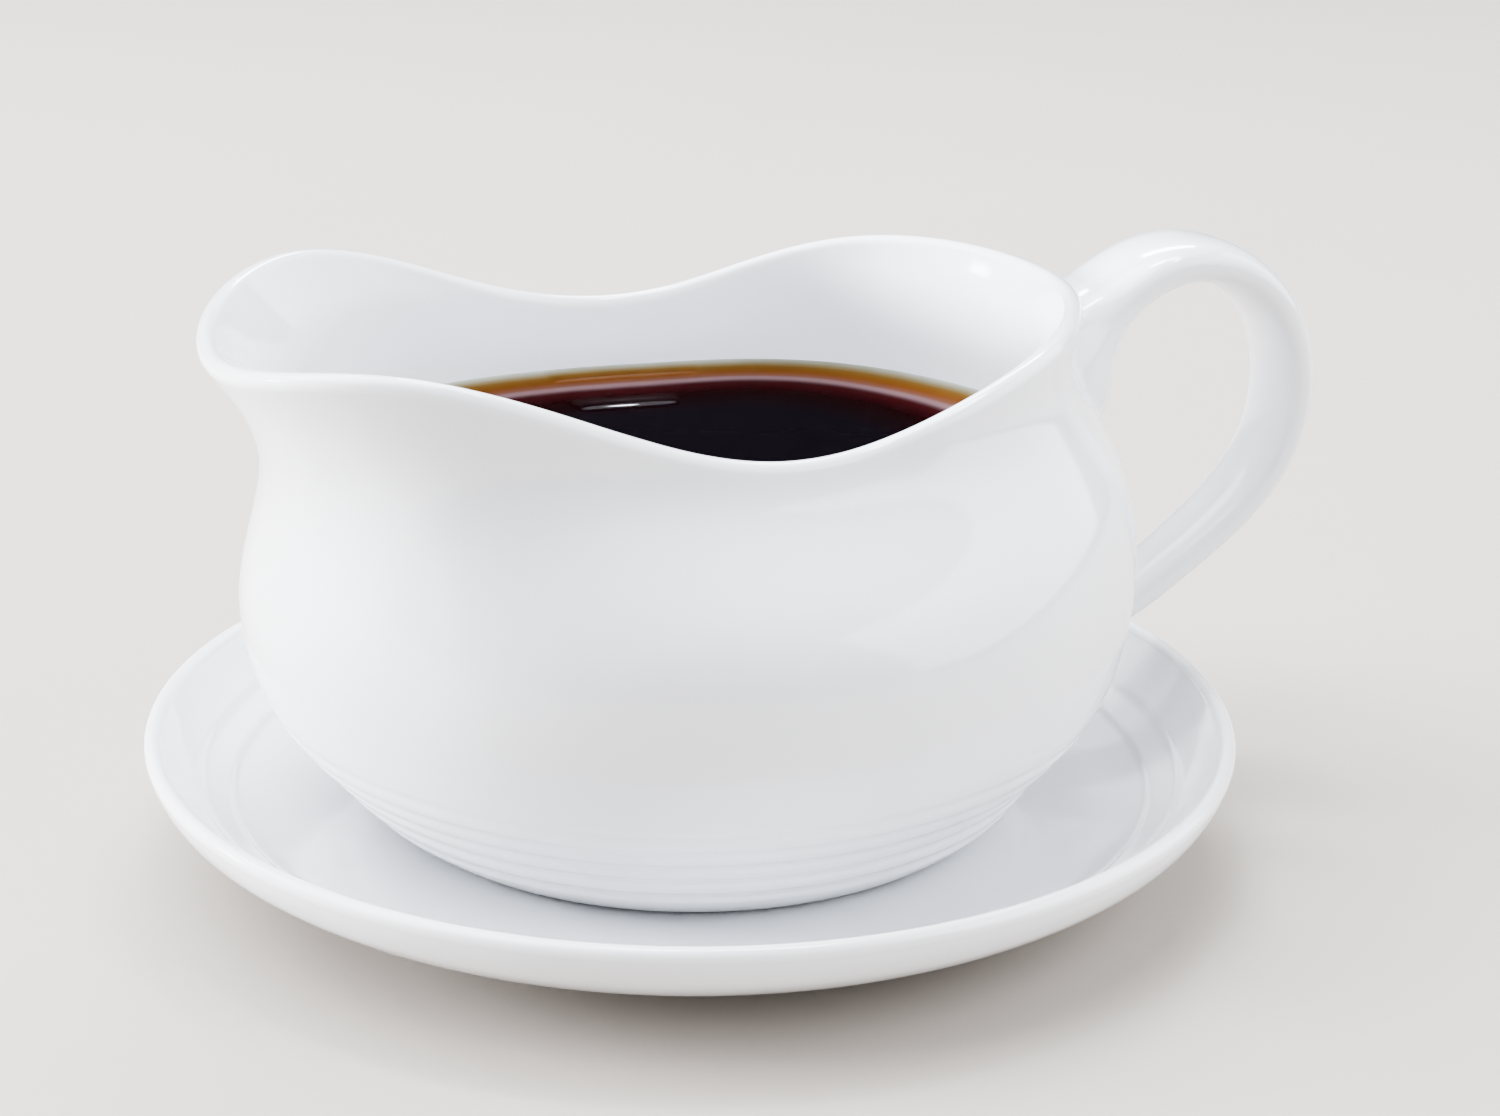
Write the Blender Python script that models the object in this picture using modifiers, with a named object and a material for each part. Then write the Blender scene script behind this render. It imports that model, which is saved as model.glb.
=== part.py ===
"""Gravy boat on its saucer.

A round porcelain bowl with a pulled spout, its strap handle, and the footed
saucer it stands on.  Metres, +Z up, +X towards the handle, spout at -X.
The origin is the middle of the bounding box at the height of the table.
"""

import math

import bpy
import numpy as np

MM = 0.001
GAP = 0.3 * MM                      # clearance between pieces that touch

# Saucer
SAUCER_RADIUS = 79.0 * MM
SAUCER_HEIGHT = 18.9 * MM
WELL_TOP = 6.0 * MM                 # flat floor that the bowl stands on
SAUCER_SEGMENTS = 64

# Bowl
FOOT_RADIUS = 43.6 * MM
FOOT_RING_WIDTH = 3.2 * MM
FOOT_RECESS = 2.2 * MM
FLOOR_THICKNESS = 4.0 * MM
LIP_RADIUS = 1.6 * MM               # half the wall at the rounded lip
BASE_WALL = 4.0 * MM                # wall near the floor
SEAT = WELL_TOP + GAP               # height of the bowl's foot
BOWL_SEGMENTS = 64

# Round part of the bowl, foot to belly: height, radius, share of the lean
BASE_ROWS = (
    (SEAT, FOOT_RADIUS, 0.0),
    (10.3 * MM, 48.8 * MM, 0.3),
    (15.8 * MM, 53.1 * MM, 1.0),
    (22.9 * MM, 59.0 * MM, 1.0),
    (31.6 * MM, 62.8 * MM, 1.0),
    (41.9 * MM, 63.8 * MM, 0.6),
)
BASE_LEAN = 1.0 * MM                # the belly is fuller under the spout

# Lip crest, handle end to spout tip: degrees, radius, height
RIM_STATIONS = (
    (0.0, 53.6 * MM, 78.8 * MM),
    (25.0, 52.3 * MM, 78.9 * MM),
    (50.0, 50.1 * MM, 76.4 * MM),
    (75.0, 44.9 * MM, 70.5 * MM),
    (100.0, 45.2 * MM, 69.7 * MM),
    (122.0, 49.6 * MM, 74.6 * MM),
    (144.0, 60.4 * MM, 80.4 * MM),
    (163.0, 66.0 * MM, 77.8 * MM),
    (180.0, 66.8 * MM, 75.8 * MM),
)

# Shoulder and neck: share of the way up to the rim, share of the rim's plan
# shape, and how far the wall stands out at the handle, the sides and the spout
SHOULDER = (0.42, 0.30, 0.0 * MM, 1.0 * MM, -4.6 * MM)
NECK = (0.74, 0.85, -2.3 * MM, 1.4 * MM, -5.0 * MM)
SECTION_KNOTS = (0.0, 0.07, 0.15, 0.25, 0.37, 0.51, 0.68, 0.83, 1.0)

# Turned rings round the base of the bowl
RING_COUNT = 5
RING_FIRST = 11.9 * MM
RING_PITCH = 3.3 * MM
RING_DEPTH = 0.45 * MM
RING_FADE = 0.07 * MM               # each ring is this much shallower

# Handle strap: centre line in the XZ plane from the rim down to the belly
HANDLE_LINE = (
    (53.0 * MM, 66.0 * MM),
    (62.7 * MM, 75.4 * MM),
    (74.3 * MM, 80.8 * MM),
    (86.3 * MM, 77.1 * MM),
    (94.0 * MM, 62.5 * MM),
    (91.2 * MM, 48.3 * MM),
    (77.1 * MM, 34.1 * MM),
    (66.3 * MM, 27.1 * MM),
    (56.0 * MM, 24.0 * MM),
)
STRAP_WIDTH = (18.6 * MM, 10.4 * MM)     # tapers from the rim to the belly
STRAP_THICKNESS = (7.4 * MM, 5.4 * MM)   # thins the same way
ROOT_FLARE = 8.0 * MM               # extra half thickness at the upper root
FOOT_FLARE = 1.6 * MM               # extra half thickness at the lower root
FLARE_LENGTH = 0.075                # share of the line that a flare takes
STRAP_RINGS = 34
STRAP_SIDES = 16
STRAP_SQUARENESS = 2.3              # 2 is an ellipse, more is boxier

HANDLE_REACH = 97.2 * MM            # outermost point from the bowl's axis
AXIS_X = (SAUCER_RADIUS - HANDLE_REACH) / 2.0


def clear_scene():
    for thing in list(bpy.data.objects):
        bpy.data.objects.remove(thing, do_unlink=True)


def new_collection(name):
    collection = bpy.data.collections.new(name)
    bpy.context.scene.collection.children.link(collection)
    return collection


def glaze(name, color, roughness):
    material = bpy.data.materials.new(name)
    material.use_nodes = True
    shader = material.node_tree.nodes["Principled BSDF"]
    shader.inputs["Base Color"].default_value = (*color, 1.0)
    shader.inputs["Roughness"].default_value = roughness
    shader.inputs["Metallic"].default_value = 0.0
    return material


def mesh_object(name, points, faces, collection, material=None):
    mesh = bpy.data.meshes.new(name)
    mesh.from_pydata([tuple(point) for point in points], [], faces)
    mesh.shade_smooth()
    mesh.set_sharp_from_angle(angle=math.radians(40.0))
    if material:
        mesh.materials.append(material)
    piece = bpy.data.objects.new(name, mesh)
    collection.objects.link(piece)
    return piece


def spline(knots, values, at):
    """Natural cubic spline; values may hold one column for each curve."""
    knots = np.asarray(knots, float)
    values = np.asarray(values, float)
    steps = np.diff(knots)
    count = len(knots)
    matrix = np.eye(count)
    right = np.zeros_like(values)
    for i in range(1, count - 1):
        matrix[i, i - 1:i + 2] = (steps[i - 1], 2.0 * (steps[i - 1] + steps[i]), steps[i])
        rise = (values[i + 1] - values[i]) / steps[i]
        right[i] = 6.0 * (rise - (values[i] - values[i - 1]) / steps[i - 1])
    bend = np.linalg.solve(matrix, right)
    results = []
    for position in np.atleast_1d(at):
        i = min(max(int(np.searchsorted(knots, position)) - 1, 0), count - 2)
        after = (position - knots[i]) / steps[i]
        before = 1.0 - after
        curve = (before ** 3 - before) * bend[i] + (after ** 3 - after) * bend[i + 1]
        results.append(before * values[i] + after * values[i + 1] + curve * steps[i] ** 2 / 6.0)
    return np.array(results)


def rim_curve(angles):
    """Radius and height of the lip crest, the same on both sides of the bowl."""
    stations = np.array(RIM_STATIONS)
    low = stations[3:0:-1] * (-1.0, 1.0, 1.0)
    high = stations[-2:-5:-1] * (-1.0, 1.0, 1.0) + (360.0, 0.0, 0.0)
    table = np.vstack([low, stations, high])
    folded = np.degrees(np.abs((angles + math.pi) % (2.0 * math.pi) - math.pi))
    return spline(table[:, 0], table[:, 1:], folded).T


def section_table(angles):
    """Radius and height of the outer wall's control rows, a column for each angle."""
    cosine = np.cos(angles)
    at_handle = np.maximum(cosine, 0.0) ** 2
    at_spout = np.maximum(-cosine, 0.0) ** 2
    at_side = 1.0 - cosine ** 2
    crest_radius, crest_height = rim_curve(angles)
    rim_radius = crest_radius + LIP_RADIUS
    rim_height = crest_height - LIP_RADIUS / 2.0
    radii = [radius - BASE_LEAN * share * cosine for _, radius, share in BASE_ROWS]
    heights = [height + 0.0 * angles for height, _, _ in BASE_ROWS]
    belly_radius = radii[-1]
    belly_height = heights[-1]
    for climb, shape, handle, side, spout in (SHOULDER, NECK):
        stand = handle * at_handle + side * at_side + spout * at_spout
        radii.append((1.0 - shape) * belly_radius + shape * rim_radius + stand)
        heights.append(belly_height + climb * (rim_height - belly_height))
    radii.append(rim_radius)
    heights.append(rim_height)
    return np.array(radii), np.array(heights)


def ring_heights():
    return [RING_FIRST + i * RING_PITCH for i in range(RING_COUNT)]


def row_parameters():
    """Section parameters of the wall's rows, closer together over the rings."""
    rings = ring_heights()
    levels = [SEAT, 8.4 * MM, rings[0] - RING_PITCH / 2.0]
    for height in rings:
        levels += [height, height + RING_PITCH / 2.0]
    levels += [31.6 * MM, 36.5 * MM, 41.9 * MM]
    dense = np.linspace(0.0, SECTION_KNOTS[5], 200)
    heights = [row[0] for row in BASE_ROWS]
    climbed = spline(SECTION_KNOTS[:6], heights, dense)
    lower = np.interp(levels, climbed, dense)
    upper = np.linspace(SECTION_KNOTS[5], 1.0, 10)[1:]
    return np.concatenate([lower, upper])


def outer_wall(angles, parameters):
    """Outer wall and its normals in each section, as rows by angles."""
    radii, heights = section_table(angles)
    step = 0.002
    inside = np.clip(parameters, step, 1.0 - step)
    radius = spline(SECTION_KNOTS, radii, parameters)
    height = spline(SECTION_KNOTS, heights, parameters)
    run = spline(SECTION_KNOTS, radii, inside + step) - spline(SECTION_KNOTS, radii, inside - step)
    rise = spline(SECTION_KNOTS, heights, inside + step) - spline(SECTION_KNOTS, heights, inside - step)
    length = np.hypot(run, rise)
    return radius, height, rise / length, -run / length


def ring_profile(height):
    """How far the base rings cut into the wall at a height."""
    depth = 0.0 * height
    for i, middle in enumerate(ring_heights()):
        shape = np.clip(1.0 - np.abs(height - middle) / (RING_PITCH / 2.0), 0.0, 1.0)
        depth += (RING_DEPTH - i * RING_FADE) * shape
    return depth


def bowl_rows(angles):
    """Closed section of the bowl: foot, outer wall, lip, inner wall, floor."""
    parameters = row_parameters()
    radius, height, out_r, out_z = outer_wall(angles, parameters)
    level = height[:, :1] + 0.0 * height
    rows = [(radius[i] - ring_profile(level[i]), height[i]) for i in range(len(parameters))]
    middle_r = radius[-1] - LIP_RADIUS * out_r[-1]
    middle_z = height[-1] - LIP_RADIUS * out_z[-1]
    for turn in (45.0, 90.0, 135.0):
        along = LIP_RADIUS * math.cos(math.radians(turn))
        up = LIP_RADIUS * math.sin(math.radians(turn))
        rows.append((middle_r + along * out_r[-1] - up * out_z[-1],
                     middle_z + along * out_z[-1] + up * out_r[-1]))
    for i in range(len(parameters) - 1, -1, -1):
        if level[i, 0] < 17.5 * MM or 21.0 * MM < level[i, 0] < 26.0 * MM:
            continue
        thick = BASE_WALL + (2.0 * LIP_RADIUS - BASE_WALL) * parameters[i]
        rows.append((radius[i] - thick * out_r[i], height[i] - thick * out_z[i]))
    floor = SEAT + FOOT_RECESS + FLOOR_THICKNESS
    for flat_radius, rise in ((46.5 * MM, 3.0 * MM), (40.0 * MM, 0.7 * MM), (24.0 * MM, 0.0)):
        rows.append((flat_radius + 0.0 * angles, floor + rise + 0.0 * angles))
    return rows, floor


def foot_rows(angles):
    inner = FOOT_RADIUS - FOOT_RING_WIDTH
    flat = 0.0 * angles
    return [(22.0 * MM + flat, SEAT + FOOT_RECESS + flat),
            (inner - 0.8 * MM + flat, SEAT + FOOT_RECESS + flat),
            (inner + flat, SEAT + flat)]


def loft_solid(name, rows, angles, bottom, top, collection, material=None):
    """Closed solid through rows of (radius, height), with a pole at each end."""
    points = []
    for radius, height in rows:
        points += list(zip(radius * np.cos(angles), radius * np.sin(angles), height))
    count = len(angles)
    faces = []
    for row in range(len(rows) - 1):
        for i in range(count):
            j = (i + 1) % count
            faces.append((row * count + i, row * count + j, (row + 1) * count + j, (row + 1) * count + i))
    first_pole = len(points)
    last_pole = first_pole + 1
    points += [(0.0, 0.0, bottom), (0.0, 0.0, top)]
    last = (len(rows) - 1) * count
    for i in range(count):
        j = (i + 1) % count
        faces.append((first_pole, j, i))
        faces.append((last_pole, last + i, last + j))
    return mesh_object(name, points, faces, collection, material)


def circle_angles(segments):
    return np.linspace(0.0, 2.0 * math.pi, segments, endpoint=False)


def make_bowl(collection, material):
    angles = circle_angles(BOWL_SEGMENTS)
    wall, floor = bowl_rows(angles)
    rows = foot_rows(angles) + wall
    return loft_solid("boat_body", rows, angles, SEAT + FOOT_RECESS, floor, collection, material)


def make_bowl_cutter(collection):
    """The bowl's outside grown by the gap, closed over the mouth."""
    angles = circle_angles(BOWL_SEGMENTS)
    parameters = row_parameters()[4:]
    radius, height, out_r, out_z = outer_wall(angles, parameters)
    rows = [(radius[i] + GAP * out_r[i], height[i] + GAP * out_z[i]) for i in range(len(parameters))]
    rows.append((rows[-1][0] - LIP_RADIUS, rows[-1][1] + LIP_RADIUS + GAP))
    cutter = loft_solid("bowl_cutter", rows, angles, rows[0][1].mean(), rows[-1][1].mean(), collection)
    cutter.hide_render = True
    cutter.display_type = "WIRE"
    return cutter


def strap_section(half_width, half_thickness):
    """Rounded strap outline: across the handle, then through its thickness."""
    outline = []
    for turn in circle_angles(STRAP_SIDES):
        c, s = math.cos(turn), math.sin(turn)
        power = 2.0 / STRAP_SQUARENESS
        outline.append((math.copysign(abs(c) ** power, c) * half_width,
                        math.copysign(abs(s) ** power, s) * half_thickness))
    return outline


def handle_rings():
    line = np.array(HANDLE_LINE)
    chords = np.hypot(*np.diff(line, axis=0).T)
    knots = np.concatenate([[0.0], np.cumsum(chords)]) / chords.sum()
    share = np.linspace(0.0, 1.0, STRAP_RINGS)
    centre = spline(knots, line, share)
    step = 0.001
    ahead = spline(knots, line, np.clip(share + step, 0.0, 1.0))
    behind = spline(knots, line, np.clip(share - step, 0.0, 1.0))
    along = (ahead - behind) / np.linalg.norm(ahead - behind, axis=1)[:, None]
    rings = []
    for position, (x, z), (run, rise) in zip(share, centre, along):
        flare = ROOT_FLARE * math.exp(-(position / FLARE_LENGTH) ** 2)
        flare += FOOT_FLARE * math.exp(-((1.0 - position) / FLARE_LENGTH) ** 2)
        width = STRAP_WIDTH[0] + position * (STRAP_WIDTH[1] - STRAP_WIDTH[0])
        thickness = STRAP_THICKNESS[0] + position * (STRAP_THICKNESS[1] - STRAP_THICKNESS[0])
        section = strap_section(width / 2.0 + flare / 3.0, thickness / 2.0 + flare)
        rings.append([(x - rise * deep, wide, z + run * deep) for wide, deep in section])
    return rings


def make_handle(collection, material, cutter):
    """Strap lofted along its line, trimmed to the outside of the bowl."""
    rings = handle_rings()
    points = [point for ring in rings for point in ring]
    faces = []
    for row in range(STRAP_RINGS - 1):
        for i in range(STRAP_SIDES):
            j = (i + 1) % STRAP_SIDES
            faces.append((row * STRAP_SIDES + i, (row + 1) * STRAP_SIDES + i,
                          (row + 1) * STRAP_SIDES + j, row * STRAP_SIDES + j))
    last = (STRAP_RINGS - 1) * STRAP_SIDES
    faces.append(tuple(range(STRAP_SIDES)))
    faces.append(tuple(last + i for i in reversed(range(STRAP_SIDES))))
    handle = mesh_object("boat_handle", points, faces, collection, material)
    trim = handle.modifiers.new("trim_to_bowl", "BOOLEAN")
    trim.operation = "DIFFERENCE"
    trim.solver = "EXACT"
    trim.object = cutter
    return handle


def saucer_profile():
    """Turned section, from the middle of the floor over the lip to the underside."""
    lip = 1.3 * MM
    lip_r = SAUCER_RADIUS - lip
    lip_z = SAUCER_HEIGHT - lip
    upper = [(0.0, 6.0), (30.0, 6.0), (47.0, 6.0), (56.0, 6.6), (63.0, 7.7), (66.2, 8.6), (66.9, 9.4),
             (70.4, 11.2), (71.2, 12.4), (73.6, 14.2), (75.6, 16.8)]
    lower = [(78.5, 15.2), (77.0, 13.0), (75.0, 11.2), (72.4, 9.4), (69.0, 7.5), (63.0, 5.4), (55.0, 3.8),
             (48.0, 3.0), (46.8, 0.3), (46.5, 0.0), (43.4, 0.0), (43.0, 0.3), (42.4, 2.4), (0.0, 2.4)]
    arc = []
    for turn in (160.0, 115.0, 70.0, 30.0, -10.0):
        angle = math.radians(turn)
        arc.append((lip_r + lip * math.cos(angle), lip_z + lip * math.sin(angle)))
    profile = [(r * MM, z * MM) for r, z in upper] + arc + [(r * MM, z * MM) for r, z in lower]
    return profile


def make_saucer(collection, material):
    profile = saucer_profile()
    mesh = bpy.data.meshes.new("saucer")
    edges = [(i, i + 1) for i in range(len(profile) - 1)]
    mesh.from_pydata([(r, 0.0, z) for r, z in profile], edges, [])
    mesh.materials.append(material)
    saucer = bpy.data.objects.new("saucer", mesh)
    collection.objects.link(saucer)
    turn = saucer.modifiers.new("turn", "SCREW")
    turn.steps = SAUCER_SEGMENTS
    turn.render_steps = SAUCER_SEGMENTS
    turn.use_merge_vertices = True
    turn.merge_threshold = 0.00005
    turn.use_smooth_shade = True
    return saucer


def make_lift_axis(collection):
    """Empty on the bowl's axis at its seat; the bowl lifts straight up from here."""
    empty = bpy.data.objects.new("boat_lift_axis", None)
    empty.empty_display_size = 0.02
    empty.location = (AXIS_X, 0.0, SEAT)
    collection.objects.link(empty)
    return empty


def main():
    clear_scene()
    parts = new_collection("gravy_boat")
    cutters = new_collection("cutters")
    body_glaze = glaze("body_glaze", (0.86, 0.87, 0.89), 0.12)
    handle_glaze = glaze("handle_glaze", (0.85, 0.86, 0.88), 0.13)
    saucer_glaze = glaze("saucer_glaze", (0.84, 0.85, 0.87), 0.14)
    lift_axis = make_lift_axis(parts)
    cutter = make_bowl_cutter(cutters)
    bowl = make_bowl(parts, body_glaze)
    handle = make_handle(parts, handle_glaze, cutter)
    for piece in (bowl, handle, cutter):
        piece.parent = lift_axis
        piece.location = (0.0, 0.0, -SEAT)
    saucer = make_saucer(parts, saucer_glaze)
    saucer.location = (AXIS_X, 0.0, 0.0)


main()
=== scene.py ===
"""Gravy boat on its saucer: the glazed pieces, the gravy and a plain studio.

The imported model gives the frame: metres, +Z up, +X towards the handle, spout
at -X.  The bowl, its handle and the saucer are made again here as fine, smooth
surfaces in the places of their solids, with the glaze that finishes them.
"""

import math

import bpy
import numpy as np
from bpy.props import FloatProperty, FloatVectorProperty, IntProperty, PointerProperty
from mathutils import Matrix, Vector


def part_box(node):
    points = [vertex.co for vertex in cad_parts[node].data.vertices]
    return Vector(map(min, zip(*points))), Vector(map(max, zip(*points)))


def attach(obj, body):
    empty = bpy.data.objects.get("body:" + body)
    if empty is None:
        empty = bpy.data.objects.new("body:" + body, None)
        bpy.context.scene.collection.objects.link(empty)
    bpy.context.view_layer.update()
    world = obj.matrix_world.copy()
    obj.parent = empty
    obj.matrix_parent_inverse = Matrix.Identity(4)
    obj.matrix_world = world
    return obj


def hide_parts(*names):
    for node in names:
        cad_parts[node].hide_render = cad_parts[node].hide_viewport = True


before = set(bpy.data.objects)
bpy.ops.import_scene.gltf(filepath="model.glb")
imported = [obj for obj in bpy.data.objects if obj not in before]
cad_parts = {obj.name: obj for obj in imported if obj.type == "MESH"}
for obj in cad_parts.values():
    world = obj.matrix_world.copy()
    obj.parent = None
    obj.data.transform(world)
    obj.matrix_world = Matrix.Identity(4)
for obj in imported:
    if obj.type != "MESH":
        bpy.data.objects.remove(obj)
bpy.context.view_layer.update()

bl_info = {
    "name": "Gravy Boat",
    "version": (1, 0, 0),
    "blender": (4, 5, 0),
    "location": "View3D > Sidebar > Gravy Boat",
    "description": "A glazed gravy boat on its saucer, with its gravy and a plain studio",
    "category": "Object",
}

MM = 0.001
BOWL_LOW, BOWL_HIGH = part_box("boat_body")
SAUCER_LOW, SAUCER_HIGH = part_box("saucer")
AXIS_X = (SAUCER_LOW.x + SAUCER_HIGH.x) / 2.0   # the bowl and the saucer share this axis
SEAT = BOWL_LOW.z                               # height of the bowl's foot

# Round part of the bowl, foot to belly: height, radius, share of the lean
BASE_ROWS = (
    (SEAT, 43.6 * MM, 0.0),
    (10.3 * MM, 48.8 * MM, 0.3),
    (15.8 * MM, 53.1 * MM, 1.0),
    (22.9 * MM, 59.0 * MM, 1.0),
    (31.6 * MM, 62.8 * MM, 1.0),
    (41.9 * MM, 63.8 * MM, 0.6),
)
BASE_LEAN = 1.0 * MM                # the belly is fuller under the spout

# Lip crest, handle end to spout tip: degrees, radius, height
RIM_STATIONS = (
    (0.0, 53.6 * MM, 78.8 * MM),
    (25.0, 52.3 * MM, 78.9 * MM),
    (50.0, 50.1 * MM, 76.4 * MM),
    (75.0, 44.9 * MM, 70.5 * MM),
    (100.0, 45.2 * MM, 69.7 * MM),
    (122.0, 49.6 * MM, 74.6 * MM),
    (144.0, 60.4 * MM, 80.4 * MM),
    (163.0, 66.0 * MM, 77.8 * MM),
    (180.0, 66.8 * MM, 75.8 * MM),
)

# Shoulder and neck: share of the way up to the rim, share of the rim's plan
# shape, and how far the wall stands out at the handle, the sides and the spout
SHOULDER = (0.42, 0.30, 0.0 * MM, 1.0 * MM, -4.6 * MM)
NECK = (0.74, 0.85, -2.3 * MM, 1.4 * MM, -5.0 * MM)
SECTION_KNOTS = (0.0, 0.07, 0.15, 0.25, 0.37, 0.51, 0.68, 0.83, 1.0)
FOOT_RING_WIDTH = 3.2 * MM
FOOT_RECESS = 2.2 * MM
FLOOR_THICKNESS = 4.0 * MM
BASE_WALL = 4.0 * MM                # wall near the floor of the bowl
INNER_FLOOR = SEAT + FOOT_RECESS + FLOOR_THICKNESS
RING_SHARPNESS = 1.5                # 1 is an even wave, more is a narrower groove
RINGED_ROWS = 130                   # rows of points up the ringed part of the outer wall
PLAIN_ROWS = 60                     # rows from there to the lip
LIP_STEP = 15.0                     # degrees between rows round the lip
INSIDE_ROWS = 80
FLOOR_ROWS = 28
FLOOR_CURL = 8                      # the floor stays flat and then turns up into the wall
BARE_FOOT = 0.15 * MM               # the foot ring is without glaze up to this height

# Handle strap: centre line in the XZ plane from the bowl's axis, rim to belly
HANDLE_LINE = (
    (53.0 * MM, 66.0 * MM),
    (62.7 * MM, 75.4 * MM),
    (74.3 * MM, 80.8 * MM),
    (86.3 * MM, 77.1 * MM),
    (94.0 * MM, 62.5 * MM),
    (91.2 * MM, 48.3 * MM),
    (77.1 * MM, 34.1 * MM),
    (66.3 * MM, 27.1 * MM),
    (56.0 * MM, 24.0 * MM),
)
STRAP_SQUARENESS = 2.3              # 2 is an ellipse, more is boxier
FLARE_LENGTH = 0.075                # share of the line that a root's flare takes
STRAP_SEGMENTS = 80
STRAP_ROWS = 150
FILLET_ROWS = 12
FILLET_SINK = 0.06 * MM             # the fillet's edge is set into the wall, so that no gap shows
ROOT_SINK = 0.9 * MM                # the closed end of a root, inside the wall
ROOT_STEPS = 700                    # steps in the search for the wall along the strap
UPPER_ROOT = (-0.12, 0.25)          # shares of the line between which each root meets the wall
LOWER_ROOT = (0.8, 1.1)

BARE_SAUCER_FOOT = 0.2 * MM         # the saucer's foot ring is without glaze up to this height

# Ripples in the gravy: distance from the wall, degrees round, half of the arc's degrees, height,
# and the width of the steep side towards the middle
RIPPLES = (
    (4.0 * MM, 85.5, 14.0, 0.335 * MM, 0.36 * MM),
    (19.4 * MM, 90.5, 14.0, 0.42 * MM, 0.85 * MM),
)
RIPPLE_BACK = 2.2 * MM              # a ripple rises slowly from the wall
RIPPLE_SHEEN = 0.53                 # share of the steep side that shines
RIPPLE_TAPER = 0.25                 # less keeps a ripple's height nearer to its ends
GRAVY_SINK = 0.05 * MM              # the edge is set into the wall, so that no gap shows
GRAVY_CLEARANCE = 0.1 * MM          # under its edge the gravy stays off the wall
GRAVY_DEPTH_LEFT_OUT = 12.0 * MM    # the lowest gravy isn't modelled
WETTED_ROWS = 40                    # rows of points from there to the gravy's edge

# Rows across the gravy's surface: first and last millimetre from the wall, how many
SURFACE_SPANS = ((0.1, 5.4, 44), (5.7, 26.0, 64), (28.0, 40.0, 7))


class SaucerSettings(bpy.types.PropertyGroup):
    lip_radius: FloatProperty(
        name="Lip radius", description="Half the thickness of the rolled lip",
        default=1.3 * MM, unit="LENGTH")
    segments: IntProperty(
        name="Segments", description="Facets round the saucer", default=240)


class BowlSettings(bpy.types.PropertyGroup):
    lip_radius: FloatProperty(
        name="Lip radius", description="Half the wall at the rounded lip",
        default=1.6 * MM, unit="LENGTH")
    segments: IntProperty(
        name="Segments", description="Facets round the bowl", default=256)
    ring_count: IntProperty(
        name="Rings", description="Turned rings round the base", default=5)
    ring_first: FloatProperty(
        name="First ring", description="Height of the lowest ring's groove",
        default=11.9 * MM, unit="LENGTH")
    ring_pitch: FloatProperty(
        name="Ring pitch", description="Height from one groove to the next",
        default=3.3 * MM, unit="LENGTH")
    ring_depth: FloatProperty(
        name="Ring depth", description="Depth of the lowest groove",
        default=0.52 * MM, unit="LENGTH")
    ring_fade: FloatProperty(
        name="Ring fade", description="How much shallower each ring is than the one below",
        default=0.07 * MM, unit="LENGTH")


class HandleSettings(bpy.types.PropertyGroup):
    width_rim: FloatProperty(
        name="Width at the rim", description="Strap width where it leaves the rim",
        default=18.6 * MM, unit="LENGTH")
    width_belly: FloatProperty(
        name="Width at the belly", description="Strap width where it meets the belly",
        default=10.4 * MM, unit="LENGTH")
    thickness_rim: FloatProperty(
        name="Thickness at the rim", description="Strap thickness where it leaves the rim",
        default=7.4 * MM, unit="LENGTH")
    thickness_belly: FloatProperty(
        name="Thickness at the belly", description="Strap thickness where it meets the belly",
        default=5.4 * MM, unit="LENGTH")
    root_flare: FloatProperty(
        name="Root flare", description="Extra half thickness at the upper root",
        default=8.0 * MM, unit="LENGTH")
    foot_flare: FloatProperty(
        name="Foot flare", description="Extra half thickness at the lower root",
        default=1.6 * MM, unit="LENGTH")
    fillet: FloatProperty(
        name="Fillet", description="Reach of the glazed fillet from the strap on to the bowl",
        default=2.6 * MM, unit="LENGTH")


class GravySettings(bpy.types.PropertyGroup):
    level: FloatProperty(
        name="Level", description="Height of the gravy's surface above the table",
        default=55.4 * MM, unit="LENGTH")
    climb: FloatProperty(
        name="Climb", description="How far the gravy climbs the wall at its edge",
        default=0.9 * MM, unit="LENGTH")
    climb_reach: FloatProperty(
        name="Climb reach", description="Distance from the wall in which the climb dies away",
        default=1.5 * MM, unit="LENGTH")
    ripple: FloatProperty(
        name="Ripple", description="Strength of the two slow ripples near the wall", default=1.0)


class GlazeSettings(bpy.types.PropertyGroup):
    white: FloatVectorProperty(
        name="Porcelain white", description="Colour of the glazed porcelain",
        default=(0.868, 0.875, 0.895), subtype="COLOR")
    # the pooled tint is partly painted shade, darkening the ring grooves and other hollows
    pooled_and_shaded: FloatVectorProperty(
        name="Pooled glaze and shade", description="Tint where the glaze gathers in a hollow",
        default=(0.775, 0.79, 0.805), subtype="COLOR")
    thin: FloatVectorProperty(
        name="Thin glaze", description="Tint where the glaze runs thin over an edge",
        default=(0.90, 0.897, 0.89), subtype="COLOR")
    clay: FloatVectorProperty(
        name="Bare clay", description="Colour of the unglazed foot rings",
        default=(0.70, 0.67, 0.62), subtype="COLOR")
    roughness: FloatProperty(
        name="Roughness", description="Mean roughness of the glaze", default=0.12)


class StudioSettings(bpy.types.PropertyGroup):
    floor: FloatVectorProperty(
        name="Floor", description="Colour of the plain floor",
        default=(0.515, 0.472, 0.430), subtype="COLOR")
    room: FloatVectorProperty(
        name="Room", description="Colour of the light that fills the room",
        default=(0.96, 0.98, 1.0), subtype="COLOR")
    room_strength: FloatProperty(
        name="Room strength", description="Strength of the light that fills the room",
        default=0.04)
    lens: FloatProperty(
        name="Lens", description="Focal length of the camera in millimetres", default=67.2)


class BoatSettings(bpy.types.PropertyGroup):
    saucer: PointerProperty(type=SaucerSettings)
    bowl: PointerProperty(type=BowlSettings)
    handle: PointerProperty(type=HandleSettings)
    gravy: PointerProperty(type=GravySettings)
    glaze: PointerProperty(type=GlazeSettings)
    studio: PointerProperty(type=StudioSettings)


# ---------------------------------------------------------------- curves

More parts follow.
